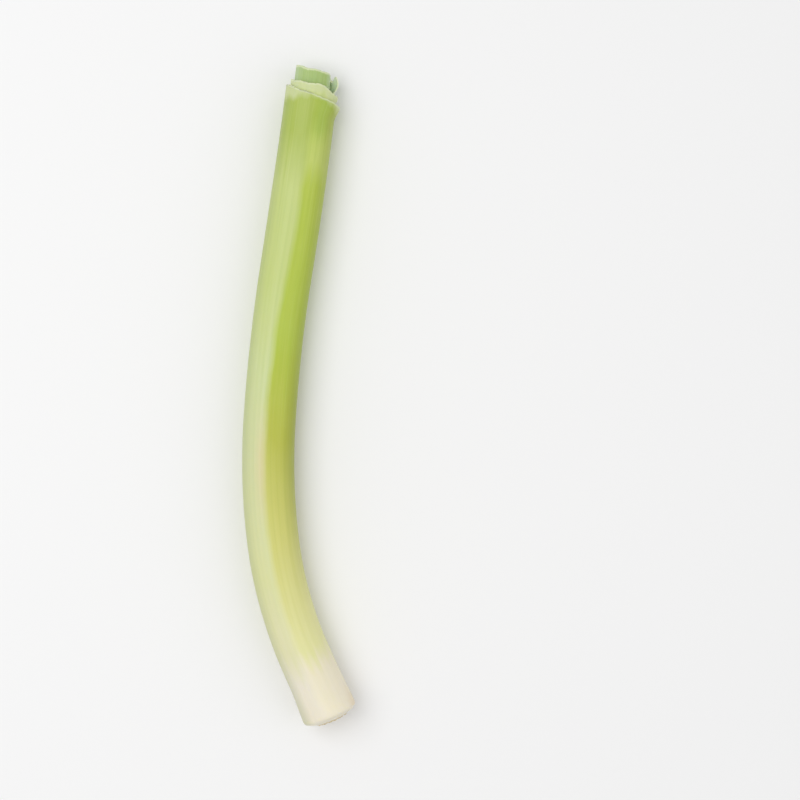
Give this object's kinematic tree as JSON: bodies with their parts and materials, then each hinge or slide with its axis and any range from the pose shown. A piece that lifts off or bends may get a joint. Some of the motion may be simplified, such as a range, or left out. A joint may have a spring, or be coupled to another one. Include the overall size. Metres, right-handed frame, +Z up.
{
  "type": "leek",
  "caption": "Trimmed leek lying down, a bowed cylindrical shaft of nested leaf sheaths, pared root end and slanting cut leaf end",
  "frame": {"origin": "on the surface that the leek lies on, under the middle of its bounding box", "axes": "+Z up, +Y along the leek from the pared root end to the cut leaf end, and the shaft's middle bows towards -X"},
  "size_m": [0.0408, 0.2378, 0.02],
  "materials": {
    "outer_leaf": "waxy satin plant tissue, cream at the root end, yellow-green to green at the leaf end",
    "second_leaf": "waxy satin plant tissue, pale yellow-green",
    "third_leaf": "waxy bloomed plant tissue, blue-green above, white inside the shaft",
    "fourth_leaf": "waxy plant tissue, mid green above, white inside the shaft",
    "fifth_leaf": "waxy plant tissue, light green above, white inside the shaft",
    "heart_leaf": "moist tender plant tissue, yellow-green",
    "root_plate": "pared stem tissue, cream white, dull"
  },
  "bodies": {
    "root": {"outer_leaf": "outer_leaf", "second_leaf": "second_leaf", "third_leaf": "third_leaf", "fourth_leaf": "fourth_leaf", "fifth_leaf": "fifth_leaf", "heart_leaf": "heart_leaf", "root_plate": "root_plate"}
  },
  "joints": []
}
